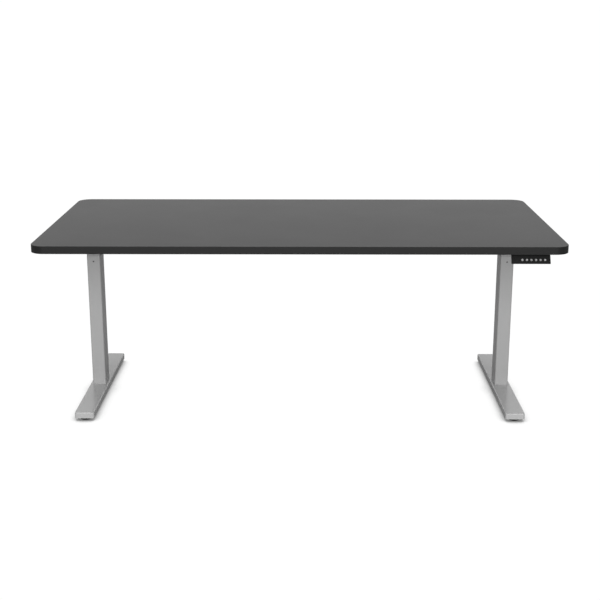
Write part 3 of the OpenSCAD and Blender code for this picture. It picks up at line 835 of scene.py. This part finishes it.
def motor(side):
    """A motor can with its front flange, rolled seams, rear cap and bearing boss."""
    lo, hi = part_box(f"{side}_motor")
    radius = (hi.z - lo.z) / 2
    centre, sign = middle(f"{side}_motor"), LEGS[side]
    seat = hi.x if sign > 0 else lo.x
    length = hi.x - lo.x
    axis = facing((seat, centre.y, centre.z), (0, 1, 0), (-sign, 0, 0))
    barrel, seam, cap = radius - 1.2 * MM, radius - 0.4 * MM, radius - 3 * MM

    def draw(bm):
        lathe(bm, soften([
            (8 * MM, 0, 0), (radius, 0, 0.6 * MM), (radius, 5 * MM, 0.6 * MM),
            (barrel, 5.6 * MM, 0.3 * MM), (barrel, length - 14 * MM, 0.5 * MM),
            (seam, length - 13.4 * MM, 0.3 * MM), (seam, length - 12 * MM, 0.4 * MM),
            (cap, length - 11.6 * MM, 0.5 * MM), (cap, length - 3 * MM, 3 * MM),
            (9 * MM, length - 3 * MM, 0.6 * MM), (9 * MM, length, 0.8 * MM), (2 * MM, length, 0)]),
            axis, count=56)
        for turn in (math.pi / 4, math.pi * 5 / 4):
            spot = axis @ Matrix.Rotation(turn, 4, "Z") @ at(radius - 9 * MM)
            socket_screw(bm, spot @ at(z=length - 3 * MM), 2.6 * MM, 1.5 * MM, 1.1 * MM, 4 * MM, 1.4 * MM)
        block(bm, 10 * MM, 8 * MM, length - 9 * MM, length - MM,
              axis @ at(radius - 8 * MM), MM, 0.6 * MM)

    piece(f"{side}_motor_can", draw, MOTOR_PAINT, "top", [f"{side}_motor"])


# ---------- under-frame ----------

def head(side):
    """The folded steel box round a gearbox, open towards the middle of the desk."""
    lo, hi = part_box(f"{side}_head")
    centre, sign = middle(f"{side}_head"), LEGS[side]
    mouth = lo.x if sign > 0 else hi.x
    place = facing((mouth, centre.y, centre.z), (0, 1, 0), (sign, 0, 0))

    def draw(bm):
        shell(bm, hi.y - lo.y, hi.z - lo.z, 4 * MM, 3 * MM, 2.5 * MM, hi.x - lo.x, 3.6 * MM, place)

    piece(f"{side}_head_box", draw, PAINT, "top", [f"{side}_head"])


def side_bracket(side):
    """A folded channel under the worktop, whose flanges taper at both ends."""
    lo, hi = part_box(f"{side}_side_bracket")
    half, sheet = (hi.x - lo.x) / 2, 2.5 * MM
    place = standing_on(f"{side}_side_bracket")

    def section(y, depth):
        outline = soften([
            (-half, hi.z - depth, 0.3 * MM), (-half, hi.z, 3.4 * MM), (half, hi.z, 3.4 * MM),
            (half, hi.z - depth, 0.3 * MM), (half - sheet, hi.z - depth, 0.3 * MM),
            (half - sheet, hi.z - sheet, MM), (sheet - half, hi.z - sheet, MM),
            (sheet - half, hi.z - depth, 0.3 * MM)], closed=True)
        return [place @ Vector((x, y, z)) for x, z in outline]

    def draw(bm):
        end, taper = (hi.y - lo.y) / 2, 60 * MM
        full, short = hi.z - lo.z, 6 * MM
        skin(bm, [section(-end, short), section(taper - end, full),
                  section(end - taper, full), section(end, short)])

    piece(f"{side}_worktop_channel", draw, PAINT, "top", [f"{side}_side_bracket"])


def rail(name):
    """A rectangular tube between the two heads."""
    lo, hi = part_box(name)
    centre, wall = (lo + hi) / 2, 2 * MM
    place = facing((lo.x, centre.y, centre.z), (0, 1, 0), (1, 0, 0))
    length = hi.x - lo.x

    def draw(bm):
        stack(bm, hi.y - lo.y, hi.z - lo.z, 3.5 * MM, soften([
            (0, 0, 0.4 * MM), (0, length, 0.4 * MM), (wall, length, 0.4 * MM), (wall, 0, 0.4 * MM)],
            closed=True, steps=2), place, loop=True)

    piece(f"{name}_tube", draw, PAINT, "top", [name])


def frame_bolts():
    """Button-head bolts through the rails into the heads."""
    lo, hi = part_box("frame_bolts")
    z, seat = (lo.z + hi.z) / 2, hi.y - 3.5 * MM

    def draw(bm):
        for side in LEGS:
            x = (low(f"{side}_gearbox").x + high(f"{side}_gearbox").x) / 2
            for sx in (-1, 1):
                for end in (-1, 1):
                    place = facing((x + sx * 18 * MM, end * seat, z), (1, 0, 0), (0, end, 0))
                    socket_screw(bm, place, 5.5 * MM, 3.5 * MM, 2.3 * MM, 30 * MM, 3 * MM)

    piece("frame_button_bolts", draw, STEEL, "top", ["frame_bolts"])


def wood_screws():
    """Pan-head screws that hold the channels, the control box and the keypad to the worktop."""
    under = low("tabletop").z
    bite = 16 * MM
    spots = []
    for side in LEGS:
        x, web = middle(f"{side}_side_bracket").x, under - 2.5 * MM
        spots += [(x, s * y * MM, web) for s in (-1, 1) for y in (80, 190, 300)]
    lid = middle("control_box_lid")
    ear = (span("control_box_lid").x + span("control_box").x) / 4
    spots += [(lid.x + sx * ear, lid.y + sy * 35 * MM, under - 2.5 * MM)
              for sx in (-1, 1) for sy in (-1, 1)]
    pad = middle("keypad_housing").x
    back = high("keypad_housing").y
    spots += [(pad + s * KEYPAD_SCREW_SPREAD, back - KEYPAD_SCREW_INSET, under - 5 * MM)
              for s in (-1, 1)]

    def draw(bm):
        for x, y, z in spots:
            pan_screw(bm, facing((x, y, z), (1, 0, 0), (0, 0, -1)), 4.2 * MM, 2.5 * MM, 2.1 * MM,
                      under + bite - z)

    piece("worktop_screws", draw, STEEL, "top", ["wood_screws"])


# ---------- control box ----------

def control_box():
    """The drive's electronics box: sockets in front, mains inlet and vents behind."""
    lo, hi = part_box("control_box")
    size = hi - lo
    height = hi.z - 16 * MM
    plugs = [(x * MM, lo.y, (0, -1, 0), 14 * MM, 8 * MM, 10 * MM) for x in (-90, -60, 60)]
    plugs += [(-85 * MM, hi.y, (0, 1, 0), 28 * MM, 20 * MM, 16 * MM)]

    def mouth(x, y, out):
        return facing((x, y, height), (1, 0, 0), out)

    def body(bm):
        stack(bm, size.x, size.y, 7 * MM, soften([
            (20 * MM, lo.z, 0), (1.5 * MM, lo.z, 3 * MM), (0, hi.z, 0), (20 * MM, hi.z, 0)]),
            standing_on("control_box"), steps=8)

    def hollows(bm):
        for x, y, out, width, tall, deep in plugs:
            stack(bm, width, tall, 1.2 * MM, [(0, -deep), (0, 4 * MM)], mouth(x, y, out), steps=4)
        for i in range(12):
            slot = mouth(20 * MM + i * 7 * MM, hi.y, (0, 1, 0))
            stack(bm, 2.4 * MM, 16 * MM, 1.19 * MM, [(0, -2.5 * MM), (0, 4 * MM)], slot, steps=4)

    def contacts(bm):
        for x, y, out, width, _, deep in plugs:
            mains = width > 20 * MM
            pins, wide, tall = (3, 2 * MM, 4.5 * MM) if mains else (5, 0.9 * MM, 0.9 * MM)
            for i in range(pins):
                aside = (i - (pins - 1) / 2) * width / (pins + 0.6)
                block(bm, wide, tall, -deep + 0.2 * MM, -deep * 0.35,
                      mouth(x, y, out) @ at(aside), 0.2 * MM, 0.2 * MM)

    piece("control_box_body", body, BLACK, "top", ["control_box"], [hollows])
    piece("control_box_contacts", contacts, STEEL, "top")

    lid_lo, lid_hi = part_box("control_box_lid")

    def lid(bm):
        stack(bm, lid_hi.x - lid_lo.x, lid_hi.y - lid_lo.y, 5 * MM, soften([
            (12 * MM, lid_lo.z, 0), (0, lid_lo.z, 0.6 * MM), (0, lid_hi.z, 0.3 * MM),
            (12 * MM, lid_hi.z, 0)]), standing_on("control_box_lid"))

    piece("control_box_flange", lid, BLACK, "top", ["control_box_lid"])


# ---------- keypad ----------

BUTTONS = ["up_button", "down_button", "preset_1_button", "preset_2_button", "preset_3_button",
           "memory_button"]


def keypad():
    """The wedge under the worktop's edge, its sloping panel, window and six buttons."""
    lo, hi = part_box("keypad_housing")
    press = Vector(next(j["axis"] for j in frame["joints"] if j["name"] == "up_button_press"))
    out = -press.normalized()
    lean = math.asin(abs(out.z))
    s, c = math.sin(lean), math.cos(lean)
    width, under = hi.x - lo.x, hi.z
    brow = lo.y + KEYPAD_FACE * s
    centre = (lo.x + hi.x) / 2
    face = facing((centre, brow, under), (1, 0, 0), out)
    panel_mid = face @ at(0, -KEYPAD_FACE / 2)
    panel_w, panel_h = width - 5 * MM, KEYPAD_FACE - 4 * MM
    window_mid = face @ at(6 * MM - width / 2 + 11 * MM, -BUTTON_DROP)
    lip = [(brow - KEYPAD_FACE * s, under - KEYPAD_FACE * c), (brow - KEYPAD_FACE * s + 3 * MM, lo.z)]

    def slab(bm, outline, half):
        """An outline across the keypad's depth, drawn out to half on both sides."""
        line = soften(outline, closed=True, steps=5)
        skin(bm, [[Vector((centre + x, y, z)) for y, z in line] for x in (-half, half)])

    def bezel(bm):
        slab(bm, [(brow, under, 0.4 * MM), (*lip[0], 1.4 * MM), (*lip[1], 1.4 * MM),
                  (lip[0][0] + 9 * MM, lo.z, 1.2 * MM), (brow + 8 * MM, under, 0.4 * MM)], width / 2)

    def body(bm):
        base = lo.z + 0.4 * MM
        slab(bm, [(brow + 5 * MM, under, 0.4 * MM), (lip[1][0] + 4 * MM, base, 0.4 * MM),
                  (brow + 20 * MM, base, 9 * MM), (hi.y, under - 14 * MM, 3 * MM),
                  (hi.y, under, 0.4 * MM)], width / 2 - KEYPAD_STEP)

    def cavity(bm):
        stack(bm, width - 2 * KEYPAD_STEP - 5 * MM, panel_h - 2 * MM, 1.5 * MM,
              [(0, -10 * MM), (0, 5 * MM)], panel_mid, steps=4)

    def pocket(bm):
        stack(bm, panel_w, panel_h, 1.5 * MM, [(0, -4 * MM), (0, 5 * MM)], panel_mid, steps=4)

    def screw_wells(bm):
        for sx in (-1, 1):
            bore = at(centre + sx * KEYPAD_SCREW_SPREAD, hi.y - KEYPAD_SCREW_INSET)
            lathe(bm, [(5 * MM, under - 36 * MM), (5 * MM, under - 5 * MM)], bore)

    def button_place(name):
        x = middle(name).x - centre
        return face @ at(x, -BUTTON_DROP)

    def panel(bm):
        stack(bm, panel_w - 0.6 * MM, panel_h - 0.6 * MM, 1.2 * MM, soften([
            (5 * MM, -2.5 * MM, 0), (0, -2.5 * MM, 0.2 * MM), (0, 0, 0.35 * MM), (5 * MM, 0, 0)]),
            panel_mid)

    def openings(bm):
        for name in BUTTONS:
            lathe(bm, [(4.3 * MM, -4 * MM), (4.3 * MM, -0.5 * MM), (5 * MM, 0.2 * MM)],
                  button_place(name), count=48)
        stack(bm, 22 * MM, 12 * MM, MM, [(0, -0.6 * MM), (0, MM)], window_mid, steps=4)

    def window(bm):
        stack(bm, 21.7 * MM, 11.7 * MM, 0.9 * MM, soften([
            (3 * MM, -0.6 * MM, 0), (0, -0.6 * MM, 0), (0, -0.15 * MM, 0.15 * MM),
            (3 * MM, -0.15 * MM, 0)]), window_mid)

    piece("keypad_bezel", bezel, BLACK, "top", ["keypad_housing"],
          [pocket, cavity], eased=0.8 * MM)
    piece("keypad_body", body, BLACK, "top", cuts=[cavity, screw_wells],
          eased=0.8 * MM)
    piece("keypad_panel", panel, BLACK, "top", ["keypad_front"], [openings])
    piece("keypad_window", window, WINDOW, "top")

    for name in BUTTONS:
        button(name, button_place(name))

    board_mid = face @ at(0, -KEYPAD_FACE / 2, -7.8 * MM)

    def board(bm):
        block(bm, span("keypad_board").x, 22 * MM, -0.8 * MM, 0.8 * MM, board_mid, MM, 0.1 * MM)
        for name in BUTTONS:
            spot = button_place(name) @ at(z=-7 * MM)
            block(bm, 6 * MM, 6 * MM, 0, 0.6 * MM, spot, 0.4 * MM, 0.2 * MM)
        plug = board_mid @ at(-30 * MM, 6 * MM)
        block(bm, 7 * MM, 5 * MM, 0.8 * MM, 1.9 * MM, plug, 0.3 * MM, 0.2 * MM)

    piece("keypad_circuit_board", board, BOARD, "top", ["keypad_board"])


def button(name, place):
    """A round dished cap with a collar behind the panel and a small raised symbol."""
    cap = soften([
        (0.5 * MM, 0.5 * MM, 0), (2.4 * MM, 0.55 * MM, 2 * MM), (3.4 * MM, 0.8 * MM, 0.5 * MM),
        (4 * MM, 0.65 * MM, 0.3 * MM), (4 * MM, -2.8 * MM, 0), (5.2 * MM, -2.8 * MM, 0.2 * MM),
        (5.2 * MM, -3.8 * MM, 0.2 * MM), (4 * MM, -3.8 * MM, 0), (4 * MM, -5.5 * MM, 0.3 * MM),
        (0.5 * MM, -5.5 * MM, 0)])
    base, crown = 0.45 * MM, 0.66 * MM

    def triangle(turn):
        return [(1.5 * MM * math.cos(a + turn), 1.5 * MM * math.sin(a + turn))
                for a in (math.pi / 2, math.pi * 7 / 6, math.pi * 11 / 6)]

    def symbol(bm):
        if name == "up_button":
            prism(bm, triangle(0), base, crown, place)
        elif name == "down_button":
            prism(bm, triangle(math.pi), base, crown, place)
        elif name == "memory_button":
            lathe(bm, [(1.0 * MM, base), (1.5 * MM, base), (1.5 * MM, crown), (1.0 * MM, crown)],
                  place, loop=True, count=24)
        else:
            count = int(name.split("_")[1])
            for i in range(count):
                spot = place @ at((i - (count - 1) / 2) * 1.3 * MM)
                lathe(bm, [(0.42 * MM, base), (0.42 * MM, crown)], spot, count=16)

    piece(f"{name}_cap", lambda bm: lathe(bm, cap, place), BUTTON, name, [name])
    piece(f"{name}_symbol", symbol, SYMBOL, name, eased=0.08 * MM)


# ---------- the whole desk ----------

worktop()
for side in LEGS:
    foot(side)
    column_tube(side, "outer", "base")
    column_tube(side, "middle", f"{side}_mid")
    column_tube(side, "inner", "top")
    column_bush(side, "lower", "outer", "base")
    column_bush(side, "upper", "middle", f"{side}_mid")
    drive(side)
    gearbox(side)
    motor(side)
    head(side)
    side_bracket(side)
    for end in ("front", "back"):
        glide(end, side)
bush_screws()
foot_bolts()
rail("front_rail")
rail("back_rail")
frame_bolts()
wood_screws()
control_box()
keypad()

for name, material in {"base_plate": STEEL, "middle_plate": STEEL, "nut_tube": STEEL,
                       "upper_nut": NYLON, "drive_tube": LEAD_SCREW}.items():
    for side in LEGS:
        kept = frame["nodes"][f"{side}_{name}"]
        kept.data.materials.clear()
        kept.data.materials.append(material)


# ---------- studio ----------

def studio_floor():
    """A wide floor that looks plain white, with a soft shadow close round what stands on it."""
    def draw(bm):
        stack(bm, 40, 40, 4, [(0, -0.02), (0, 0)], at(0, 6))
    made = bare_object("studio_floor", draw)
    finish = bpy.data.materials.new("pale_floor")
    finish.use_nodes = True
    tree = finish.node_tree
    tree.nodes.clear()
    near = node(tree, "ShaderNodeAmbientOcclusion", {"Distance": 0.09}, samples=8).outputs["AO"]
    fading = math_node(tree, "POWER", near, 2.33)
    seen = node(tree, "ShaderNodeEmission", {"Strength": ramp(tree, fading, 0, 0.59, 0.17, ROOM_WHITE)})
    matt = node(tree, "ShaderNodeBsdfDiffuse", {"Color": grey(0.5)})
    eye = node(tree, "ShaderNodeLightPath").outputs["Is Camera Ray"]
    both = node(tree, "ShaderNodeMixShader", {0: eye, 1: matt.outputs[0], 2: seen.outputs[0]})
    out = tree.nodes.new("ShaderNodeOutputMaterial")
    tree.links.new(both.outputs[0], out.inputs["Surface"])
    made.data.materials.append(finish)


def studio_world(strength):
    """A white room: plain white where it is seen or mirrored, dimmer as a light."""
    world = bpy.data.worlds.new("white_room")
    bpy.context.scene.world = world
    world.use_nodes = True
    tree = world.node_tree
    tree.nodes.clear()
    path = node(tree, "ShaderNodeLightPath").outputs
    seen = math_node(tree, "MAXIMUM", path["Is Camera Ray"], path["Is Glossy Ray"])
    glow = ramp(tree, seen, 0, 1, strength, ROOM_WHITE)
    back = node(tree, "ShaderNodeBackground", {"Color": grey(1.0), "Strength": glow})
    out = tree.nodes.new("ShaderNodeOutputWorld")
    tree.links.new(back.outputs[0], out.inputs["Surface"])


def softbox(name, spot, aim, width, height, watts):
    """A rectangular studio light at spot that looks at aim."""
    light = bpy.data.lights.new(name, "AREA")
    light.shape = "RECTANGLE"
    light.size, light.size_y = width, height
    light.energy = watts
    made = bpy.data.objects.new(name, light)
    bpy.context.scene.collection.objects.link(made)
    made.location = spot
    made.rotation_euler = (Vector(aim) - Vector(spot)).to_track_quat("-Z", "Y").to_euler()


def studio_camera():
    """A camera in front of the desk and a little above it, 67 mm long."""
    camera = bpy.data.cameras.new("camera")
    camera.lens = 67.18
    camera.sensor_width = 36
    camera.clip_end = 100
    made = bpy.data.objects.new("camera", camera)
    made.location = (0.0278, -4.1346, 1.4807)
    pitch, yaw = 0.264657, 0.006872
    made.rotation_euler = (math.pi / 2 - pitch, 0, yaw)
    bpy.context.scene.collection.objects.link(made)
    bpy.context.scene.camera = made


studio_floor()
studio_world(0.36)
softbox("front_softbox", (0, -5.2, 2.8), (0, 0, 0.3), 5, 2.4, 145)
softbox("low_softbox", (0, -5.0, 0.55), (0, 0, 0.5), 5, 0.9, 90)
softbox("overhead_softbox", (0, 0, 4.0), (0, 0, 0), 5, 4, 60)
studio_camera()
bpy.context.scene.view_settings.view_transform = "Standard"
